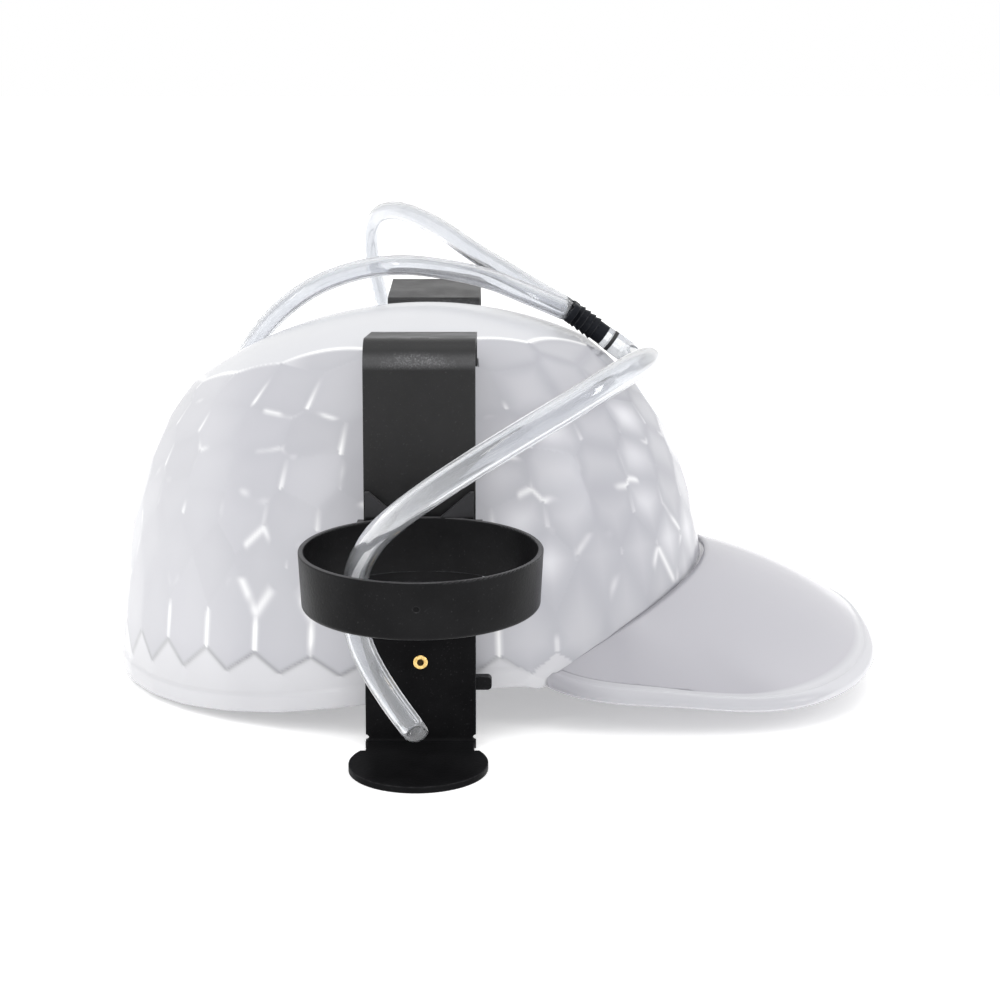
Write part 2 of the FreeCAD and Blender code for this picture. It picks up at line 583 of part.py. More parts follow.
# ---- write every part ------------------------------------------------------------------------------
parts = {"cap_shell": cap_shell()}
for piece in (holder_strap, can_ring, rim_clip, holder_eyelet, eyelet_washer):
    right = piece()
    parts["right_" + piece.__name__] = right
    parts["left_" + piece.__name__] = mirrored(right)
parts["right_can_tube"] = hose("right_can_tube", RIGHT_CAN_TUBE)
parts["left_can_tube"] = hose("left_can_tube", LEFT_CAN_TUBE)
parts["mouth_tube"] = hose("mouth_tube", MOUTH_TUBE)
for piece in (mouth_tube_coil, coil_tie, valve_collar, bite_valve,
              connector_barrel, connector_seal, connector_gasket, connector_elbow):
    parts[piece.__name__] = piece()
for name, shape in parts.items():
    extent = shape.BoundBox
    print(name, "solids", len(shape.Solids), "valid", shape.isValid(), "volume", round(shape.Volume, 1),
          "low", [round(v, 1) for v in (extent.XMin, extent.YMin, extent.ZMin)],
          "high", [round(v, 1) for v in (extent.XMax, extent.YMax, extent.ZMax)])
    shape.exportStep("parts/" + name + ".step")
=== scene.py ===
"""Looks of the drinking cap: clear faceted shell, black can holders and clear vinyl hoses.

Metres, +X to the visor, +Y to the wearer's left, +Z up, origin on the floor under the cap.
"""
import math

import bpy
import numpy as np
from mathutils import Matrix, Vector


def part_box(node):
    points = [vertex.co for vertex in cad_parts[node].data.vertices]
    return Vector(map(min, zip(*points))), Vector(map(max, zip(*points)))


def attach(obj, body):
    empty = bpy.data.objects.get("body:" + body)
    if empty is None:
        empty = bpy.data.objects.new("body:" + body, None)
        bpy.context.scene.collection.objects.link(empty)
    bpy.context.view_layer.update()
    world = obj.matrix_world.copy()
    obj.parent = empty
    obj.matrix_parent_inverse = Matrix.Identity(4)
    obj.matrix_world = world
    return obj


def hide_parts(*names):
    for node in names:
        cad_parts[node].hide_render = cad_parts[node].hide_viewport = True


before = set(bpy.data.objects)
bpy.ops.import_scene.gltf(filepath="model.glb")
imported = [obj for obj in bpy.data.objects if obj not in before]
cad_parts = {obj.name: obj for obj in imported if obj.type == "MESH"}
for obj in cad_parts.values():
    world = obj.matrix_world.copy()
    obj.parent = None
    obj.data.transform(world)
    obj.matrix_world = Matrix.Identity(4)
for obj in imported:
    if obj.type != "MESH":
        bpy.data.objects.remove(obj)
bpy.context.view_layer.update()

# ---- shell: the same driving dimensions as the CAD part -----------------------------------------------
DOME_X = -0.0285
DOME_HALF_LENGTH = 0.105
DOME_HALF_WIDTH = 0.087
DOME_HEIGHT = 0.130
DOME_POWER = 2.65
WALL = 0.002
CROWN_X = -0.024
CROWN_RADIUS = 0.140
FACET_ROW_HEIGHTS = (0.0375, 0.053, 0.068, 0.082, 0.095, 0.106)
FACET_ROW_COUNTS = (32, 32, 32, 28, 26, 22)
FACET_SINK = 0.0007
FACET_ROUNDNESS = 0.45        # radius of a facet's own slight swell
BAND_COUNT = 32
BAND_HEIGHT = 0.0215          # plain upright panels below the hexagons
BAND_FLARE = 0.6              # how fast they draw in downwards
BEVEL_HEIGHT = 0.116
BEVEL_COUNT = 12
BEVEL_ROUNDNESS = 3 * FACET_ROUNDNESS
RIDGE_SOFTNESS = 0.00009      # rounds the ridges between facets
RIDGE_SHADE_BAND = 0.00055          # widths of the painted shade and highlight marks along ridges, as a fall below the two facets that meet
RIDGE_HIGHLIGHT = 0.00011
RIDGE_SHADE_LINE = 0.00009
HIGHLIGHT_RADIUS = 0.0064          # the painted highlight patch inside a facet
HIGHLIGHT_SHIFT = (-0.002, 0.0, 0.001)
EYE_HEIGHT = 0.020            # the rays that shape the dome start here, on its middle line
RIM_POINTS = ((-0.140, 0.0030), (-0.110, 0.0026), (-0.073, 0.0060), (-0.042, 0.0110),
              (-0.006, 0.0157), (0.012, 0.0154), (0.030, 0.0120))
BEAD_HEIGHT = 0.0062
BEAD_PROUD = 0.0008
BEAD_FADE = 0.0012            # how far a bead takes to run out into the plain sheet
EDGE_BULGE = 0.0009           # roundness of the wall's lower edge
DOME_COLUMNS = 720
DOME_ROWS = 230
INNER_ROWS = 60

VISOR_TIP_X = 0.1343
VISOR_MIDDLE_X = 0.061
VISOR_HALF_WIDTH = 0.0865
VISOR_POWER = 2.7
VISOR_ROOT_X = 0.0175
# station along X, height of the middle line's upper face, drop of the arch at ARCH_HALF_WIDTH
VISOR_STATIONS = ((0.014, 0.0541, 0.0475), (0.045, 0.0496, 0.0374), (0.0765, 0.0434, 0.033),
                  (0.1345, 0.0151, 0.0177))
ARCH_HALF_WIDTH = 0.086
VISOR_BEAD_WIDTH = 0.004
VISOR_BEAD_PROUD = 0.0007
VISOR_EDGE_RADIUS = 0.0017
VISOR_EDGE_STEPS = (0.00045, 0.0009, 0.0016, 0.0024, 0.0030, 0.0034, 0.0038, 0.0043, 0.0052)
VISOR_SHEET_ROWS = 26
VISOR_COLUMNS = 220
FOOT_UNDER_VISOR = 0.0012     # the wall's foot hides this far below the visor's upper face
LOWEST_FOOT = 0.004

HOLDER_X = -0.023
STRAP_WIDTH = 0.035
SLOT_CLEARANCE = 0.0004       # beside the lip, along X
SLOT_INSIDE = 0.0008          # beside the lip, towards the middle
SLOT_OUTSIDE = 0.0006
SLOT_HEIGHTS = (0.108, 0.127)
EAR_HEIGHT = 0.008

# ---- hoses ---------------------------------------------------------------------------------------------
HOSE_RADIUS = 0.00375
BORE_RADIUS = 0.0025
HOSE_SIDES = 28
HOSE_END_ROUNDING = 0.0003
RIGHT_CAN_TUBE = (
    (-0.0225, -0.138, 0.019), (-0.033, -0.134, 0.0315), (-0.041, -0.136, 0.0495),
    (-0.04, -0.145, 0.069), (-0.0335, -0.1645, 0.084), (-0.024, -0.194, 0.098), (-0.0115, -0.21, 0.11),
    (0.004, -0.216, 0.121), (0.021, -0.212, 0.1305), (0.0345, -0.1985, 0.1365), (0.042, -0.18, 0.137),
    (0.0435, -0.1505, 0.132), (0.0445, -0.108, 0.125), (0.048, -0.062, 0.1165), (0.0485, -0.03, 0.113),
    (0.048, -0.0065, 0.1124),
)
LEFT_CAN_TUBE = (
    (-0.024, 0.119, 0.012), (-0.031, 0.131, 0.027), (-0.0375, 0.141, 0.043), (-0.041, 0.1475, 0.062),
    (-0.0425, 0.152, 0.084), (-0.047, 0.1545, 0.107), (-0.0515, 0.147, 0.127), (-0.0525, 0.133, 0.1425),
    (-0.0485, 0.115, 0.1535), (-0.0405, 0.096, 0.157), (-0.031, 0.076, 0.156), (-0.020, 0.058, 0.152),
    (-0.008, 0.0415, 0.145), (0.0035, 0.025, 0.1398), (0.0145, 0.011, 0.134), (0.0267, 0.0044, 0.128),
)
COIL_X = -0.092
COIL_Y = 0.182
COIL_RADIUS = 0.042
COIL_LIFT = 0.0006
COIL_STUB = 0.024
COIL_TURNS = 1.25
COIL_POINTS_A_TURN = 16
COIL_SINK_TURNS = (0.27, 0.62)    # where the upper turn comes down beside the lower one
TAIL_LENGTH = 0.030
VALVE_SIDES = 40
MOUTH_TUBE = (
    (0.0267, -0.0044, 0.128), (0.0135, -0.0015, 0.1332), (-0.002, 0.012, 0.1382), (-0.018, 0.027, 0.140),
    (-0.034, 0.037, 0.1408), (-0.050, 0.038, 0.139), (-0.0665, 0.033, 0.1335), (-0.0805, 0.034, 0.1235),
    (-0.0925, 0.044, 0.109), (-0.102, 0.057, 0.090), (-0.108, 0.070, 0.069), (-0.113, 0.086, 0.047),
    (-0.123, 0.105, 0.027), (-0.1315, 0.129, 0.0145),
    (COIL_X - COIL_RADIUS, COIL_Y - COIL_STUB, 3 * HOSE_RADIUS + COIL_LIFT),
)

# ---- camera and light ----------------------------------------------------------------------------------
CAMERA_PLACE = (0.0021, -0.7104, 0.2152)
CAMERA_PITCH = 8.0            # degrees below level
CAMERA_LENS = 72.47
CAMERA_SHIFT_Y = -0.1547
FLOOR_HALF_WIDTH = 12.0

WHITE = (1.0, 1.0, 1.0, 1)
SIDES = ("right", "left")


# ---- mesh helpers --------------------------------------------------------------------------------------
def store(obj, name, values):
    """Keeps one number for each point of a mesh, for its material to read."""
    attribute = obj.data.attributes.new(name, "FLOAT", "POINT")
    attribute.data.foreach_set("value", values.astype(np.float32))


def evaluated_mesh(obj):
    """The object's mesh with its modifiers applied."""
    bpy.context.view_layer.update()
    return bpy.data.meshes.new_from_object(obj.evaluated_get(bpy.context.evaluated_depsgraph_get()))


def new_object(name, vertices, faces, material=None, smooth=True):
    """A mesh object from points and index tuples."""
    mesh = bpy.data.meshes.new(name)
    mesh.from_pydata([tuple(v) for v in vertices], [], faces)
    mesh.validate()
    mesh.polygons.foreach_set("use_smooth", [smooth] * len(mesh.polygons))
    obj = bpy.data.objects.new(name, mesh)
    bpy.context.scene.collection.objects.link(obj)
    if material is not None:
        mesh.materials.append(material)
    return obj


def grid_faces(rows, columns, wrap_rows=False, wrap_columns=False):
    """Quads of a grid of points stored row by row."""
    faces = []
    for row in range(rows if wrap_rows else rows - 1):
        above = (row + 1) % rows
        for column in range(columns if wrap_columns else columns - 1):
            beside = (column + 1) % columns
            faces.append((row * columns + column, row * columns + beside,
                          above * columns + beside, above * columns + column))
    return faces


def smoothstep(x, low, high):
    """0 below low, 1 above high and a smooth rise between."""
    t = np.clip((x - low) / (high - low), 0, 1)
    return t * t * (3 - 2 * t)


# ---- shell ---------------------------------------------------------------------------------------------
def facet_spheres():
    """The big spheres whose shared inside is the dome, one for each facet.

    Gives the spheres' centres, their radii and the middles of their facets.
    """
    centres, radii, middles = [], [], []
    rows = [(BAND_HEIGHT, BAND_COUNT, FACET_SINK, FACET_ROUNDNESS, 1)]
    for row, (height, count) in enumerate(zip(FACET_ROW_HEIGHTS, FACET_ROW_COUNTS)):
        rows.append((height, count, FACET_SINK, FACET_ROUNDNESS, row % 2))
    rows.append((BEVEL_HEIGHT, BEVEL_COUNT, 0.0, BEVEL_ROUNDNESS, 0))
    for height, count, sink, roundness, shift in rows:
        share = (1 - (height / DOME_HEIGHT) ** DOME_POWER) ** (1 / DOME_POWER)
        for cell in range(count):
            turn = 2 * math.pi * (cell + 0.5 * shift) / count
            at = np.array([DOME_HALF_LENGTH * share * math.cos(turn),
                           DOME_HALF_WIDTH * share * math.sin(turn), height])
            pull = share ** (DOME_POWER - 2)
            rise = height ** (DOME_POWER - 1) / DOME_HEIGHT ** DOME_POWER
            inward = sink
            if height == BAND_HEIGHT:
                rise = -BAND_FLARE * math.sin(turn) ** 2
                inward = sink * math.sin(turn) ** 2
            normal = np.array([pull * at[0] / DOME_HALF_LENGTH ** 2,
                               pull * at[1] / DOME_HALF_WIDTH ** 2, rise])
            normal /= np.linalg.norm(normal)
            at[0] += DOME_X
            middles.append(at - normal * inward)
            centres.append(at - normal * (inward + roundness))
            radii.append(roundness)
    centres.append(np.array([CROWN_X, 0, DOME_HEIGHT - CROWN_RADIUS]))
    radii.append(CROWN_RADIUS)
    middles.append(np.array([CROWN_X, 0, DOME_HEIGHT]))
    return np.array(centres), np.array(radii), np.array(middles)


def facet_reaches(directions, inset):
    """Distances from the eye point to every facet and to the oval wall, along each direction."""
    centres, radii, _ = facet_spheres()
    eye = np.array([DOME_X, 0, EYE_HEIGHT])
    offset = eye - centres
    along = directions @ offset.T
    beyond = (offset ** 2).sum(1) - (radii - inset) ** 2
    reach = -along + np.sqrt(along ** 2 - beyond)
    oval = np.sqrt((directions[:, 0] / (DOME_HALF_LENGTH - inset)) ** 2
                   + (directions[:, 1] / (DOME_HALF_WIDTH - inset)) ** 2)
    return np.column_stack([reach, 1 / np.maximum(oval, 1e-3)])


def dome_reach(directions, inset):
    """How far the dome's wall lies from the eye point along each direction, with its ridges rounded."""
    reach = facet_reaches(directions, inset)
    nearest = reach.min(1)
    blend = np.exp(-(reach - nearest[:, None]) / RIDGE_SOFTNESS).sum(1)
    return nearest - RIDGE_SOFTNESS * np.log(blend)


def rim_height(x):
    """Height of the wavy rim over the floor, by a smooth curve through its points."""
    xs, zs = (np.array(v) for v in zip(*RIM_POINTS))
    slopes = np.gradient(zs, xs)
    x = np.clip(x, xs[0], xs[-1])
    k = np.clip(np.searchsorted(xs, x) - 1, 0, len(xs) - 2)
    span = xs[k + 1] - xs[k]
    t = (x - xs[k]) / span
    return ((2 * t ** 3 - 3 * t ** 2 + 1) * zs[k] + (t ** 3 - 2 * t ** 2 + t) * span * slopes[k]
            + (3 * t ** 2 - 2 * t ** 3) * zs[k + 1] + (t ** 3 - t ** 2) * span * slopes[k + 1])


def visor_height(x, y):
    """Height of the visor's upper face."""
    xs, tops, drops = (np.array(v) for v in zip(*VISOR_STATIONS))
    top = np.polyval(np.polyfit(xs, tops, 3), x)
    drop = np.polyval(np.polyfit(xs, drops, 3), x)
    return top - drop * (y / ARCH_HALF_WIDTH) ** 2


def dome_foot(turn, inset):
    """Height and X of the wall's lower edge: the rim at the sides and back, the visor in front."""
    x = DOME_X + (DOME_HALF_LENGTH - inset) * np.cos(turn)
    y = (DOME_HALF_WIDTH - inset) * np.sin(turn)
    rim = rim_height(x)
    visor = np.maximum(visor_height(x, y) - FOOT_UNDER_VISOR, LOWEST_FOOT)
    front = smoothstep(x, 0.010, 0.022)
    return rim * (1 - front) + visor * front, x


def dome_rows(inset, rows):
    """Points of one face of the wall, from its lower edge to just short of the pole."""
    turn = 2 * np.pi * np.arange(DOME_COLUMNS) / DOME_COLUMNS
    foot, foot_x = dome_foot(turn, inset)
    flat = np.column_stack([np.cos(turn) * (DOME_HALF_LENGTH - inset),
                            np.sin(turn) * (DOME_HALF_WIDTH - inset)])
    distance = np.linalg.norm(flat, axis=1)
    low = np.arctan2(foot - EYE_HEIGHT, distance)
    heading = np.arctan2(flat[:, 1], flat[:, 0])
    beaded = 1 - smoothstep(foot_x, 0.008, 0.020)
    points = []
    for share in np.arange(rows) / rows:
        lift = low + (np.pi / 2 - low) * share
        directions = np.column_stack([np.cos(lift) * np.cos(heading), np.cos(lift) * np.sin(heading),
                                      np.sin(lift)])
        reach = dome_reach(directions, inset)
        ring = directions * reach[:, None] + np.array([DOME_X, 0, EYE_HEIGHT])
        if inset == 0:
            over_rim = ring[:, 2] - foot
            proud = BEAD_PROUD * (1 - smoothstep(over_rim, BEAD_HEIGHT - BEAD_FADE, BEAD_HEIGHT)) * beaded
            ring[:, 0] += proud * np.cos(heading)
            ring[:, 1] += proud * np.sin(heading)
        points.append(ring)
    return points


def mark_facets(dome, vertices):
    """Stores, for each point, how strongly it lies in each painted highlight and painted shade mark on the
    facets, in each region of the wall, and a random number for its facet.
    """
    eye = np.array([DOME_X, 0, EYE_HEIGHT])
    directions = vertices - eye
    directions /= np.linalg.norm(directions, axis=1)[:, None]
    reach = facet_reaches(directions, 0.0)
    counts = [BAND_COUNT] + list(FACET_ROW_COUNTS) + [BEVEL_COUNT, 1, 1]
    row_of = np.repeat(np.arange(len(counts)), counts)
    row_of[-1] = 0    # the oval wall counts as part of the band
    nearest = np.argsort(reach, axis=1)[:, :2]
    first_facet = nearest[:, 0]
    first, second = row_of[first_facet], row_of[nearest[:, 1]]
    at = np.arange(len(vertices))
    gap = reach[at, nearest[:, 1]] - reach[at, nearest[:, 0]]
    crown, bevel, band = len(counts) - 2, len(counts) - 3, 0

    def along(width):
        return np.exp(-(gap / width) ** 2)

    hexagon = (first > band) & (first < bevel)
    upright = (first == second) & hexagon
    heights = np.array([BAND_HEIGHT] + list(FACET_ROW_HEIGHTS) + [BEVEL_HEIGHT, DOME_HEIGHT])[first]
    fade = np.clip((heights + 0.007 - vertices[:, 2]) / 0.011, 0, 1) ** 1.5
    middles = facet_spheres()[2]
    own_middle = middles[np.minimum(first_facet, len(middles) - 1)]
    highlight_spot = np.linalg.norm(vertices - own_middle - HIGHLIGHT_SHIFT, axis=1)
    # masks for the painted shade along ridges and edges, the painted highlights on ridges, in facets and at
    # the crown's edge, and for the regions
    marks = {
        "ridge_shade": along(RIDGE_SHADE_BAND) * (hexagon | (second > band)),
        "highlight_streak": along(RIDGE_HIGHLIGHT) * upright * fade,
        "slant": along(RIDGE_HIGHLIGHT) * (first != second) * hexagon * (second < bevel) * (second > band),
        "zigzag_shade": along(RIDGE_SHADE_LINE) * ((first == band) ^ (second == band)),
        "crown_edge_highlight": along(2 * RIDGE_HIGHLIGHT) * ((first == crown) ^ (second == crown)),
        "bevel_edge_shade": along(RIDGE_SHADE_LINE) * ((first == bevel) ^ (second == bevel)),
        "crown": (first == crown).astype(float),
        "bevel": (first == bevel).astype(float),
        "band": (first == band).astype(float),
        "highlight_spot": np.exp(-(highlight_spot / HIGHLIGHT_RADIUS) ** 2) * hexagon,
        "facets": hexagon.astype(float),
        "cell": (np.sin(first_facet * 12.9898) * 43758.5453) % 1.0,
    }
    for name, values in marks.items():
        store(dome, name, values)


def cap_dome(material):
    """The dome's wall: outer face, rounded lower edge and inner face, as one closed mesh."""
    outer = dome_rows(0.0, DOME_ROWS)
    inner = dome_rows(WALL, INNER_ROWS)
    edge = []
    for step in range(1, 6):
        angle = math.pi * step / 6
        mix = (1 - math.cos(angle)) / 2
        ring = outer[0] * (1 - mix) + inner[0] * mix
        ring[:, 2] -= EDGE_BULGE * math.sin(angle)
        edge.append(ring)
    rings = outer[::-1] + edge + inner
    upward = np.array([[0, 0, 1.0]])
    top = [[DOME_X, 0, EYE_HEIGHT + dome_reach(upward, inset)[0]] for inset in (0.0, WALL)]
    vertices = np.vstack(rings + [np.array(top)])
    faces = grid_faces(len(rings), DOME_COLUMNS, wrap_columns=True)
    poles = len(rings) * DOME_COLUMNS
    last_ring = poles - DOME_COLUMNS
    for column in range(DOME_COLUMNS):
        beside = (column + 1) % DOME_COLUMNS
        faces.append((poles, beside, column))
        faces.append((poles + 1, last_ring + column, last_ring + beside))
    dome = new_object("cap_dome", vertices, faces, material)
    mark_facets(dome, vertices)
    return dome


def visor_distances(length):
    """Distances in from the visor's outline of its rows of points, close together along the bead."""
    near = [np.minimum(step, length * 0.1 * (index + 1)) for index, step in enumerate(VISOR_EDGE_STEPS)]
    shares = np.linspace(0.12, 1.0, VISOR_SHEET_ROWS)
    return near + [np.maximum(length * share, np.minimum(0.0056, length * 0.95)) for share in shares]


def cap_visor(material):
    """The visor: an arched sheet with a rolled edge, growing out of the dome's wall."""
    depth = VISOR_TIP_X - VISOR_MIDDLE_X
    back = math.acos(-((VISOR_MIDDLE_X - VISOR_ROOT_X) / depth) ** (VISOR_POWER / 2))
    root = math.acos((VISOR_ROOT_X - DOME_X) / (DOME_HALF_LENGTH - WALL / 2))
    share = np.linspace(-1, 1, VISOR_COLUMNS)
    turn = share * back
    reach = np.sign(np.cos(turn)) * np.abs(np.cos(turn)) ** (2 / VISOR_POWER)
    spread = np.sign(np.sin(turn)) * np.abs(np.sin(turn)) ** (2 / VISOR_POWER)
    outer = np.column_stack([VISOR_MIDDLE_X + depth * reach, VISOR_HALF_WIDTH * spread])
    inner = np.column_stack([DOME_X + (DOME_HALF_LENGTH - WALL / 2) * np.cos(share * root),
                             (DOME_HALF_WIDTH - WALL / 2) * np.sin(share * root)])
    length = np.linalg.norm(outer - inner, axis=1)
    distances = visor_distances(length)
    top_rows, bottom_rows = [], []
    for distance in distances:
        mix = (distance / np.maximum(length, 1e-6))[:, None]
        plan = outer * (1 - mix) + inner * mix
        swell = VISOR_BEAD_PROUD * (1 - smoothstep(distance, VISOR_BEAD_WIDTH - BEAD_FADE, VISOR_BEAD_WIDTH))
        fall = np.sqrt(np.maximum(VISOR_EDGE_RADIUS ** 2 - (VISOR_EDGE_RADIUS - distance) ** 2, 0))
        round_off = np.where(distance < VISOR_EDGE_RADIUS, VISOR_EDGE_RADIUS - fall, 0)
        height = visor_height(plan[:, 0], plan[:, 1])
        top_rows.append(np.column_stack([plan, height + swell - round_off]))
        bottom_rows.append(np.column_stack([plan, height - WALL - swell + round_off]))
    tip = np.column_stack([outer, visor_height(outer[:, 0], outer[:, 1]) - WALL / 2])
    rows = top_rows[::-1] + [tip] + bottom_rows
    vertices = np.vstack(rows)
    faces = grid_faces(len(rows), VISOR_COLUMNS, wrap_rows=True)
    for column in (0, VISOR_COLUMNS - 1):
        cap = [row * VISOR_COLUMNS + column for row in range(len(rows))]
        faces.append(cap if column else cap[::-1])
    visor = new_object("cap_visor", vertices, faces, material)
    order = list(range(len(distances)))
    in_sheet = [float(index >= len(VISOR_EDGE_STEPS)) for index in order[::-1] + [0] + order]
    inside = np.maximum(np.repeat(in_sheet, VISOR_COLUMNS), 1 - smoothstep(vertices[:, 0], 0.020, 0.045))
    store(visor, "peak", np.ones(len(vertices)))
    # the rolled edge and bead are marked for a painted highlight
    store(visor, "peak_edge_highlight", 1 - inside)
    return visor


def cut_crown_slots(dome):
    """Opens the two slots in the crown that the straps' lips drop through."""
    for side in SIDES:
        low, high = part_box(side + "_holder_strap")
        inner = min(abs(low.y), abs(high.y))
        sign = -1 if side == "right" else 1
        x0 = HOLDER_X - STRAP_WIDTH / 2 - SLOT_CLEARANCE
        x1 = HOLDER_X + STRAP_WIDTH / 2 + SLOT_CLEARANCE
        y0, y1 = sorted((sign * (inner - SLOT_INSIDE), sign * (inner + WALL + SLOT_OUTSIDE)))
        corners = [(x, y, z) for x in (x0, x1) for y in (y0, y1) for z in SLOT_HEIGHTS]
        faces = [(0, 1, 3, 2), (4, 6, 7, 5), (0, 4, 5, 1), (2, 3, 7, 6), (0, 2, 6, 4), (1, 5, 7, 3)]
        cutter = new_object("cutter", corners, faces, smooth=False)
        cut = dome.modifiers.new("slot", "BOOLEAN")
        cut.object = cutter
        cut.operation = "DIFFERENCE"
        cut.solver = "EXACT"
        mesh = evaluated_mesh(dome)
        dome.modifiers.clear()
        old = dome.data
        dome.data = mesh
        bpy.data.meshes.remove(old)
        bpy.data.objects.remove(cutter)


# ---- materials -----------------------------------------------------------------------------------------
class Shader:
    """A material with a Principled shader and short calls for its procedural nodes."""

    def __init__(self, name, **sockets):
        self.material = bpy.data.materials.new(name)
        self.material.use_nodes = True
        self.tree = self.material.node_tree
        self.surface = next(n for n in self.tree.nodes if n.type == "BSDF_PRINCIPLED")
        for socket, value in sockets.items():
            self.surface.inputs[socket.replace("_", " ")].default_value = value

    def node(self, kind, **values):
        """A new node with its settings and unlinked sockets filled in."""
        node = self.tree.nodes.new(kind)
        for key, value in values.items():
            if hasattr(node, key):
                setattr(node, key, value)
            else:
                node.inputs[key.replace("_", " ")].default_value = value
        return node

    def link(self, output, target, socket):
        self.tree.links.new(output, target.inputs[socket])

    def place(self):
        """Object coordinates: the frame's metres while the part is at rest."""
        return self.node("ShaderNodeTexCoord").outputs["Object"]

    def noise(self, scale, detail=4.0, roughness=0.55):
        noise = self.node("ShaderNodeTexNoise", Scale=scale, Detail=detail, Roughness=roughness)
        self.link(self.place(), noise, "Vector")
        return noise.outputs["Fac"]

    def ramp(self, value, *stops):
        """Colour stops as (position, (r, g, b))."""
        ramp = self.node("ShaderNodeValToRGB")
        while len(ramp.color_ramp.elements) < len(stops):
            ramp.color_ramp.elements.new(0.5)
        for element, (position, colour) in zip(ramp.color_ramp.elements, stops):
            element.position = position
            element.color = (*colour, 1)
        self.link(value, ramp, "Fac")
        return ramp.outputs["Color"]

    def range(self, value, low, high, to_low, to_high, smooth=True):
        """A value carried from one range to another."""
        node = self.node("ShaderNodeMapRange", interpolation_type="SMOOTHSTEP" if smooth else "LINEAR",
                         From_Min=low, From_Max=high, To_Min=to_low, To_Max=to_high)
        self.link(value, node, "Value")
        return node.outputs["Result"]

    def math(self, operation, first, second):
        """Two values or numbers put together by an operation."""
        node = self.node("ShaderNodeMath", operation=operation)
        for socket, value in enumerate((first, second)):
            if isinstance(value, (int, float)):
                node.inputs[socket].default_value = value
            else:
                self.tree.links.new(value, node.inputs[socket])
        return node.outputs["Value"]

    def times(self, first, second):
        return self.math("MULTIPLY", first, second)

    def attribute(self, name):
        """A number stored at the mesh's points."""
        return self.node("ShaderNodeAttribute", attribute_name=name).outputs["Fac"]

    def axis(self, letter):
        split = self.node("ShaderNodeSeparateXYZ")
        self.link(self.place(), split, "Vector")
        return split.outputs[letter]

    def mix(self, factor, first, second):
        """The first colour, covered by the second as far as the factor says."""
        node = self.node("ShaderNodeMix", data_type="RGBA")
        for name, value in (("Factor", factor), ("A", first), ("B", second)):
            socket = next(slot for slot in node.inputs if slot.name == name and slot.enabled)
            if isinstance(value, (int, float, tuple)):
                socket.default_value = value
            else:
                self.tree.links.new(value, socket)
        return next(slot for slot in node.outputs if slot.enabled)

    def bump(self, height, strength, distance):
        bump = self.node("ShaderNodeBump", Strength=strength, Distance=distance)
        self.link(height, bump, "Height")
        self.link(bump.outputs["Normal"], self.surface, "Normal")
        return bump


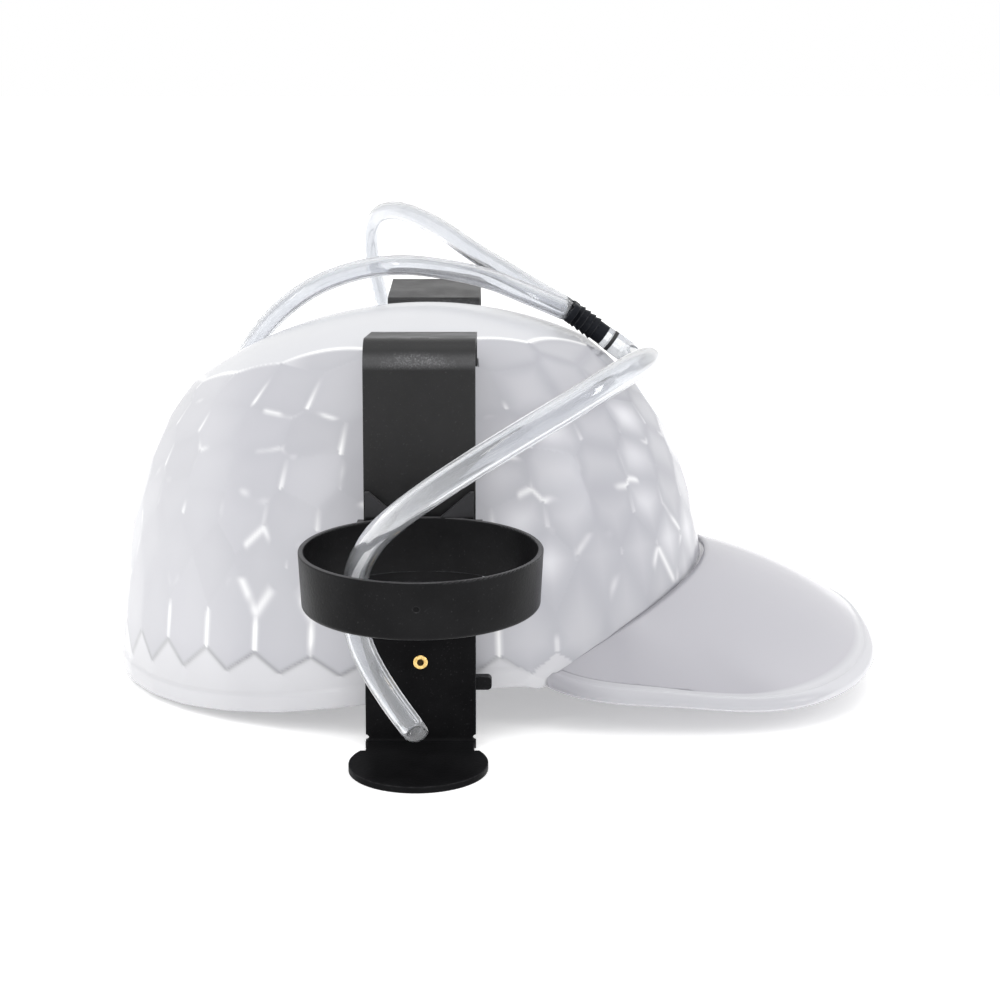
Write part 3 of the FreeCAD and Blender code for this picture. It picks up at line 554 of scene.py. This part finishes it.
def shell_material():
    """Clear polystyrene with a milky cast. Light and shade are painted in: facets lightened at random,
    highlights inside some facets, along ridges and on the crown's edge, shade along ridges and edges, and a
    lighter crown, bevel, lower panels, back and visor edge.
    """
    look = Shader("clear_shell_plastic", Roughness=0.22, IOR=1.45, Specular_IOR_Level=0.30,
               Coat_Weight=0.10, Coat_Roughness=0.05)
    cloud = look.noise(14.0, detail=3.0)
    colour = look.ramp(cloud, (0.30, (0.470, 0.470, 0.505)), (0.70, (0.510, 0.512, 0.540)))
    # painted light: each hexagon facet is lightened by its own random share, as though each caught the light
    # differently
    facet_painted_light = look.range(look.attribute("cell"), 0.0, 1.0, 0.0, 0.14, smooth=False)
    colour = look.mix(look.times(facet_painted_light, look.attribute("facets")), colour, (0.72, 0.72, 0.76, 1))
    front = look.range(look.axis("X"), -0.010, 0.020, 0.0, 1.0)
    back = look.math("SUBTRACT", 1.0, front)
    # painted highlight: a bright patch inside some facets, only towards the front
    highlight_cells = look.range(look.attribute("cell"), 0.45, 0.95, 0.0, 0.62)
    highlight_spot = look.times(look.attribute("highlight_spot"), look.times(front, highlight_cells))
    colour = look.mix(highlight_spot, colour, (0.88, 0.88, 0.91, 1))
    # painted shade: a darker band along the ridges between facets, stronger towards the front
    shade = look.times(look.attribute("ridge_shade"), look.range(front, 0.0, 1.0, 0.12, 0.50))
    colour = look.mix(shade, colour, (0.36, 0.36, 0.40, 1))
    # painted highlight: white streaks along the upright ridges, broken up by noise and stronger towards the
    # back
    broken = look.range(look.noise(46.0, detail=1.0), 0.44, 0.56, 0.0, 1.0)
    stronger_behind = look.range(back, 0.0, 1.0, 0.45, 1.0)
    highlight_streak = look.times(look.attribute("highlight_streak"), look.times(broken, stronger_behind))
    colour = look.mix(highlight_streak, colour, WHITE)
    # painted highlight: white on some of the slanted ridges between hexagon rows
    lit_slants = look.range(look.noise(60.0, detail=1.0), 0.55, 0.66, 0.0, 0.6)
    colour = look.mix(look.times(look.attribute("slant"), lit_slants), colour, WHITE)
    # painted light: the plain upright panels below the hexagons are lightened
    colour = look.mix(look.times(look.attribute("band"), 0.36), colour, (0.86, 0.86, 0.87, 1))
    # painted shade: a dark line where the upright panels meet the hexagons, stronger towards the back
    zigzag_shade = look.times(look.attribute("zigzag_shade"), look.times(back, 0.55))
    colour = look.mix(zigzag_shade, colour, (0.20, 0.20, 0.21, 1))
    # painted light: the bevel facets are lightened towards the back
    far_back_light = look.range(look.axis("X"), -0.098, -0.078, 1.0, 0.0)
    bevel = look.times(look.attribute("bevel"), look.range(look.axis("X"), -0.075, -0.060, 0.40, 0.0))
    colour = look.mix(bevel, colour, (0.93, 0.93, 0.94, 1))
    # painted shade: a dark line along the bevel's edge at the back
    edge = look.times(look.attribute("bevel_edge_shade"), look.range(look.axis("X"), -0.078, -0.070, 0.9, 0.0))
    colour = look.mix(edge, colour, (0.05, 0.05, 0.055, 1))
    # painted light: the far back of the wall is lightened
    colour = look.mix(look.times(far_back_light, 0.20), colour, (0.85, 0.85, 0.86, 1))
    # painted light: the crown, facing up, is lightened
    colour = look.mix(look.times(look.attribute("crown"), 0.50), colour, (0.78, 0.79, 0.81, 1))
    # painted highlight: white along the crown's edge, broken up by noise
    rim = look.range(look.noise(30.0, detail=1.0), 0.40, 0.55, 0.3, 1.0)
    colour = look.mix(look.times(look.attribute("crown_edge_highlight"), rim), colour, WHITE)
    colour = look.mix(look.attribute("peak"), colour, (0.415, 0.410, 0.445, 1))
    # painted highlight: the visor's rolled edge is lighter
    colour = look.mix(look.attribute("peak_edge_highlight"), colour, (0.52, 0.52, 0.55, 1))
    look.link(colour, look.surface, "Base Color")
    look.link(look.range(look.axis("Z"), 0.010, 0.026, 0.16, 0.08), look.surface, "Transmission Weight")
    look.bump(look.noise(55.0, detail=2.0), 0.04, 0.001)
    return look.material


def black_plastic(name, grain, roughness, base=(0.0055, 0.0055, 0.006), gloss=0.07, wear_and_light=None,
                  dim_foot=False):
    """Satin black moulded plastic with fine grain, faint dust and lighter rubbed edges.

    The function given for extra marks adds its own marks of wear and painted light to the colour, and
    dim_foot takes the gloss off low down.
    """
    look = Shader(name, IOR=1.5, Specular_IOR_Level=gloss)
    dust = look.noise(60.0, detail=6.0)
    dusty = tuple(channel * 1.5 + 0.002 for channel in base)
    body = look.ramp(dust, (0.35, base), (0.75, dusty))
    specks = look.ramp(look.noise(1500.0, detail=2.0), (0.66, (0, 0, 0)), (0.74, (1, 1, 1)))
    colour = look.mix(look.times(specks, 0.06), body, (0.25, 0.25, 0.26, 1))
    bevel = look.node("ShaderNodeBevel", Radius=0.0007)
    geometry = look.node("ShaderNodeNewGeometry")
    facing = look.node("ShaderNodeVectorMath", operation="DOT_PRODUCT")
    look.link(bevel.outputs["Normal"], facing, 0)
    look.link(geometry.outputs["Normal"], facing, 1)
    # painted highlight: lighter along the edges, broken up by noise
    edge = look.range(facing.outputs["Value"], 0.985, 0.80, 0.0, 0.55)
    sheen_and_wear = look.times(edge, look.range(look.noise(400.0), 0.35, 0.65, 0.3, 1.0))
    colour = look.mix(sheen_and_wear, colour, (0.10, 0.10, 0.105, 1))
    if wear_and_light is not None:
        colour = wear_and_light(look, colour)
    look.link(colour, look.surface, "Base Color")
    look.link(look.range(dust, 0.3, 0.7, roughness - 0.06, roughness + 0.08), look.surface, "Roughness")
    if dim_foot:
        look.link(look.range(look.axis("Z"), 0.035, 0.105, 0.02, gloss), look.surface, "Specular IOR Level")
    bump = look.bump(look.noise(grain, detail=3.0), 0.22, 0.0003)
    look.link(bevel.outputs["Normal"], bump, "Normal")
    return look.material


def bend_highlight_and_wear(look, colour):
    """A stripe along the strap's top bend: a painted highlight, with speckles in it that are partly rubbed
    wear and partly painted highlight.
    """
    height = look.axis("Z")
    over = look.range(height, 0.1206, 0.1232, 0.0, 1.0)
    under = look.range(height, 0.1242, 0.1270, 1.0, 0.0)
    band = look.times(over, under)
    # painted highlight: the band along the bend is lightened
    colour = look.mix(look.times(band, 0.30), colour, (0.16, 0.16, 0.165, 1))
    # speckles along the bend, partly rubbed wear and partly painted highlight
    speckle = look.range(look.noise(1600.0, detail=8.0, roughness=0.75), 0.44, 0.74, 0.05, 0.5)
    patch = look.range(look.noise(90.0, detail=2.0), 0.40, 0.62, 0.15, 1.0)
    sheen_and_wear = look.times(look.times(band, speckle), patch)
    return look.mix(sheen_and_wear, colour, (0.38, 0.38, 0.39, 1))


def pale_ears_and_lit_tops(look, colour):
    """The ring is paler black above the ear line, on its two ears, and painted lighter on faces that look
    upward, such as its top edge.
    """
    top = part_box("right_can_ring")[1].z
    high = look.range(look.axis("Z"), top - EAR_HEIGHT - 0.0002, top - EAR_HEIGHT + 0.0006, 0.0, 0.75)
    colour = look.mix(high, colour, (0.045, 0.045, 0.048, 1))
    # painted light: faces that look upward are lightened, as lit from above
    upward = look.node("ShaderNodeSeparateXYZ")
    look.link(look.node("ShaderNodeNewGeometry").outputs["True Normal"], upward, 0)
    rim = look.range(upward.outputs["Z"], 0.60, 0.90, 0.0, 0.8)
    return look.mix(rim, colour, (0.085, 0.085, 0.088, 1))


def brass():
    """Bright brass, a little uneven in tone."""
    look = Shader("brass_eyelet_metal", Metallic=1.0, Roughness=0.22)
    tone = look.ramp(look.noise(900.0, detail=4.0), (0.35, (0.62, 0.40, 0.12)), (0.65, (0.95, 0.70, 0.30)))
    look.link(tone, look.surface, "Base Color")
    look.bump(look.noise(1800.0), 0.15, 0.0001)
    return look.material


def hose_material():
    """Clear vinyl with a faint cool milkiness."""
    look = Shader("clear_hose_vinyl", IOR=1.42, Roughness=0.06, Transmission_Weight=0.89, Coat_Weight=0.5,
               Coat_Roughness=0.05)
    cloud = look.noise(90.0, detail=3.0)
    milk = look.ramp(cloud, (0.3, (0.790, 0.805, 0.835)), (0.7, (0.850, 0.862, 0.885)))
    look.link(milk, look.surface, "Base Color")
    look.bump(look.noise(220.0, detail=2.0), 0.10, 0.0003)
    return look.material


def fitting_material():
    """Harder and glassier clear plastic of the connector."""
    look = Shader("clear_fitting_plastic", IOR=1.49, Roughness=0.06, Transmission_Weight=0.75,
               Coat_Weight=0.5)
    tone = look.ramp(look.noise(300.0), (0.3, (0.80, 0.83, 0.86)), (0.7, (0.94, 0.95, 0.97)))
    look.link(tone, look.surface, "Base Color")
    look.bump(look.noise(700.0), 0.06, 0.0002)
    return look.material


def gasket_rubber():
    """Dull black rubber."""
    look = Shader("gasket_rubber", IOR=1.45)
    tone = look.ramp(look.noise(400.0, detail=5.0), (0.3, (0.02, 0.02, 0.021)), (0.7, (0.03, 0.03, 0.03125)))
    look.link(tone, look.surface, "Base Color")
    look.link(look.range(look.noise(150.0), 0.3, 0.7, 0.42, 0.58), look.surface, "Roughness")
    look.bump(look.noise(1200.0), 0.15, 0.0002)
    return look.material


def silicone():
    """Soft, cloudy clear silicone of the bite valve."""
    look = Shader("bite_valve_silicone", Roughness=0.42, IOR=1.41, Transmission_Weight=0.25,
               Subsurface_Weight=0.4, Subsurface_Radius=(0.004, 0.004, 0.004))
    tone = look.ramp(look.noise(120.0), (0.3, (0.58, 0.61, 0.64)), (0.7, (0.68, 0.70, 0.73)))
    look.link(tone, look.surface, "Base Color")
    look.bump(look.noise(900.0), 0.12, 0.0002)
    return look.material


# ---- hoses ---------------------------------------------------------------------------------------------
def smooth_route(points):
    """Points read from a NURBS spline that has the route's points as its control points."""
    curve = bpy.data.curves.new("route", "CURVE")
    curve.dimensions = "3D"
    curve.resolution_u = 12
    spline = curve.splines.new("NURBS")
    spline.points.add(len(points) - 1)
    for control, point in zip(spline.points, points):
        control.co = (*point, 1)
    spline.order_u = 3
    spline.use_endpoint_u = True
    carrier = bpy.data.objects.new("route", curve)
    bpy.context.scene.collection.objects.link(carrier)
    bpy.context.view_layer.update()
    mesh = bpy.data.meshes.new_from_object(carrier)
    line = [v.co.copy() for v in mesh.vertices]
    bpy.data.meshes.remove(mesh)
    bpy.data.objects.remove(carrier)
    bpy.data.curves.remove(curve)
    kept = [line[0]]
    for point in line[1:]:
        if (point - kept[-1]).length > 1e-5:
            kept.append(point)
    return kept


def route_frames(line):
    """Two steady cross directions at each point of a line."""
    frames = []
    side = None
    for index in range(len(line)):
        before, after = line[max(index - 1, 0)], line[min(index + 1, len(line) - 1)]
        tangent = (after - before).normalized()
        if side is None:
            side = tangent.orthogonal().normalized()
        side = (side - tangent * side.dot(tangent)).normalized()
        frames.append((side, tangent.cross(side)))
    return frames


def hose(name, points, material, slant=0.0):
    """A hollow tube along a route, its bore open at both ends and its first end cut on a slant.

    Gives the tube, the line along its middle and its length.
    """
    line = smooth_route(points)
    frames = route_frames(line)
    turns = [2 * math.pi * step / HOSE_SIDES for step in range(HOSE_SIDES)]
    outer = [(index, HOSE_RADIUS) for index in range(len(line))]
    outer[0] = (0, HOSE_RADIUS - HOSE_END_ROUNDING)
    outer[-1] = (len(line) - 1, HOSE_RADIUS - HOSE_END_ROUNDING)
    inner = [(index, BORE_RADIUS) for index in reversed(range(len(line)))]
    rings = []
    for index, radius in outer + inner:
        side, up = frames[index]
        ring = [(side * math.cos(turn) + up * math.sin(turn)) * radius for turn in turns]
        if index == 0:
            outward = (line[0] - line[1]).normalized()
            ring = [offset + outward * offset.y * slant for offset in ring]
        rings.append([line[index] + offset for offset in ring])
    vertices = [point for ring in rings for point in ring]
    faces = grid_faces(len(rings), HOSE_SIDES, wrap_rows=True, wrap_columns=True)
    tube = new_object(name, vertices, faces, material)
    length = sum((after - before).length for before, after in zip(line, line[1:]))
    return tube, line, length


def coil_route():
    """Control points of the put-away mouth tube: down the coil and out along the tail."""
    high = 3 * HOSE_RADIUS + COIL_LIFT
    low = HOSE_RADIUS + COIL_LIFT
    points = []
    radius = COIL_RADIUS * (1 / math.cos(math.pi / COIL_POINTS_A_TURN) ** 0.5)
    for step in range(1, round(COIL_TURNS * COIL_POINTS_A_TURN)):
        turned = step / COIL_POINTS_A_TURN
        angle = math.pi - 2 * math.pi * turned
        sink = float(smoothstep(turned, *COIL_SINK_TURNS))
        points.append((COIL_X + radius * math.cos(angle), COIL_Y + radius * math.sin(angle),
                       high + (low - high) * sink))
    end_y = COIL_Y + COIL_RADIUS
    points.append((COIL_X, end_y, low))
    points.append((COIL_X + TAIL_LENGTH / 2, end_y, low))
    points.append((COIL_X + TAIL_LENGTH, end_y, low))
    return points


# ---- bite valve ----------------------------------------------------------------------------------------
def bite_valve(material):
    """A soft mouthpiece: a round neck that widens to a flat oval, with ribs and a slit in its end."""
    low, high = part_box("bite_valve")
    middle = (low + high) / 2
    half_width = (high.y - low.y) / 2
    half_height = (high.z - low.z) / 2
    # how far along, how wide and how tall, each as a share of the CAD piece
    sections = ((0.0, 0.0, 0.0), (0.0, 0.40, 0.70), (0.02, 0.55, 0.92), (0.10, 0.58, 0.98),
                (0.13, 0.52, 0.88), (0.20, 0.52, 0.88), (0.23, 0.62, 0.98), (0.30, 0.66, 0.98),
                (0.34, 0.60, 0.88), (0.50, 0.72, 0.82), (0.70, 0.88, 0.74), (0.86, 0.97, 0.66),
                (0.95, 0.98, 0.58), (0.985, 0.93, 0.46), (1.0, 0.84, 0.30), (1.0, 0.62, 0.07),
                (0.90, 0.60, 0.05), (0.90, 0.0, 0.0))
    rings = []
    for share, wide, tall in sections:
        ring = []
        for step in range(VALVE_SIDES):
            angle = 2 * math.pi * step / VALVE_SIDES
            across, upward = math.cos(angle), math.sin(angle)
            y = middle.y + half_width * wide * math.copysign(abs(across) ** 0.8, across)
            z = middle.z + half_height * tall * math.copysign(abs(upward) ** 0.8, upward)
            ring.append((low.x + (high.x - low.x) * share, y, z))
        rings.append(ring)
    vertices = [point for ring in rings for point in ring]
    faces = grid_faces(len(rings), VALVE_SIDES, wrap_columns=True)
    valve = new_object("bite_valve_mouthpiece", vertices, faces, material)
    weld = valve.modifiers.new("weld", "WELD")
    weld.merge_threshold = 0.00002
    smooth = valve.modifiers.new("smooth", "SUBSURF")
    smooth.levels = smooth.render_levels = 1
    mesh = evaluated_mesh(valve)
    valve.modifiers.clear()
    valve.data = mesh
    return valve


# ---- stage ---------------------------------------------------------------------------------------------
def camera():
    """The camera at the photograph's viewing angle."""
    data = bpy.data.cameras.new("camera")
    data.lens = CAMERA_LENS
    data.sensor_width = 36
    data.shift_y = CAMERA_SHIFT_Y
    data.clip_end = 50
    obj = bpy.data.objects.new("camera", data)
    obj.location = CAMERA_PLACE
    obj.rotation_euler = (math.radians(90 - CAMERA_PITCH), 0, 0)
    bpy.context.scene.collection.objects.link(obj)
    bpy.context.scene.camera = obj


def light(name, place, target, size, power):
    """A rectangular soft light that faces a point."""
    data = bpy.data.lights.new(name, "AREA")
    data.shape = "RECTANGLE"
    data.size, data.size_y = size
    data.energy = power
    obj = bpy.data.objects.new(name, data)
    obj.location = place
    obj.rotation_euler = (Vector(target) - Vector(place)).to_track_quat("-Z", "Y").to_euler()
    bpy.context.scene.collection.objects.link(obj)


def studio():
    """A white floor and background, a large soft light above, and softboxes at both sides."""
    look = Shader("floor_paper", Roughness=0.9)
    tone = look.ramp(look.noise(3.0), (0.3, (0.93, 0.93, 0.93)), (0.7, (0.95, 0.95, 0.95)))
    look.link(tone, look.surface, "Base Color")
    around = ((-1, -1), (1, -1), (1, 1), (-1, 1))
    corners = [(x * FLOOR_HALF_WIDTH, y * FLOOR_HALF_WIDTH, 0) for x, y in around]
    floor = new_object("floor", corners, [(0, 1, 2, 3)], look.material, smooth=False)
    look.surface.inputs["Emission Color"].default_value = WHITE
    look.surface.inputs["Emission Strength"].default_value = 0.32
    world = bpy.data.worlds.new("studio")
    world.use_nodes = True
    background = world.node_tree.nodes["Background"]
    background.inputs["Color"].default_value = WHITE
    background.inputs["Strength"].default_value = 1.0
    bpy.context.scene.world = world
    overhead = bpy.data.lights.new("overhead_sun", "SUN")
    overhead.energy = 0.75
    overhead.angle = math.radians(55)
    lamp = bpy.data.objects.new("overhead_sun", overhead)
    lamp.rotation_euler = (math.radians(8), math.radians(-6), 0)
    bpy.context.scene.collection.objects.link(lamp)
    light("front_softbox", (-0.9, -1.1, 0.8), (0, 0, 0.08), (0.25, 0.9), 2.5)
    light("right_softbox", (1.1, -0.6, 0.7), (0.03, 0, 0.07), (0.2, 0.7), 2.5)
    bpy.context.scene.view_settings.view_transform = "Standard"


def pair(ending):
    """The names of a right and a left node."""
    return [side + ending for side in SIDES]


def set_material(nodes, material):
    """Gives CAD nodes their material."""
    for name in nodes:
        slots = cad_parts[name].data.materials
        slots.clear()
        slots.append(material)


# ---- build ---------------------------------------------------------------------------------------------
clear_shell = shell_material()
dome = cap_dome(clear_shell)
cut_crown_slots(dome)
visor = cap_visor(clear_shell)
for piece in (dome, visor):
    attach(piece, "cap")
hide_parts("cap_shell")
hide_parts("cap_shell")

set_material(pair("_holder_strap"),
             black_plastic("strap_black", 900.0, 0.38, gloss=0.30, wear_and_light=bend_highlight_and_wear, dim_foot=True))
set_material(pair("_can_ring"), black_plastic("ring_black", 1100.0, 0.34, wear_and_light=pale_ears_and_lit_tops))
set_material(pair("_rim_clip"), black_plastic("clip_black", 1100.0, 0.30, base=(0.006, 0.006, 0.007)))
set_material(pair("_holder_eyelet") + pair("_eyelet_washer"), brass())
set_material(["connector_barrel"],
             black_plastic("connector_black", 1500.0, 0.28, base=(0.008, 0.009, 0.012)))
set_material(["valve_collar"], black_plastic("collar_black", 1500.0, 0.35))
set_material(["coil_tie"], black_plastic("tie_black", 1500.0, 0.42))
set_material(["connector_seal", "connector_elbow"], fitting_material())
set_material(["connector_gasket"], gasket_rubber())

vinyl = hose_material()
right_hose, right_line, right_length = hose("right_can_hose", RIGHT_CAN_TUBE, vinyl, slant=0.75)
left_hose, left_line, left_length = hose("left_can_hose", LEFT_CAN_TUBE, vinyl)
mouth_hose, mouth_line, mouth_length = hose("mouth_hose", MOUTH_TUBE + tuple(coil_route()), vinyl)
valve = bite_valve(silicone())
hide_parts("right_can_tube")
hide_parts("left_can_tube")
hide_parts("mouth_tube", "mouth_tube_coil")
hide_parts("bite_valve")
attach(valve, "cap")
for piece in (right_hose, left_hose, mouth_hose):
    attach(piece, "cap")
print("hose lengths", round(right_length, 3), round(left_length, 3), round(mouth_length, 3))

camera()
studio()
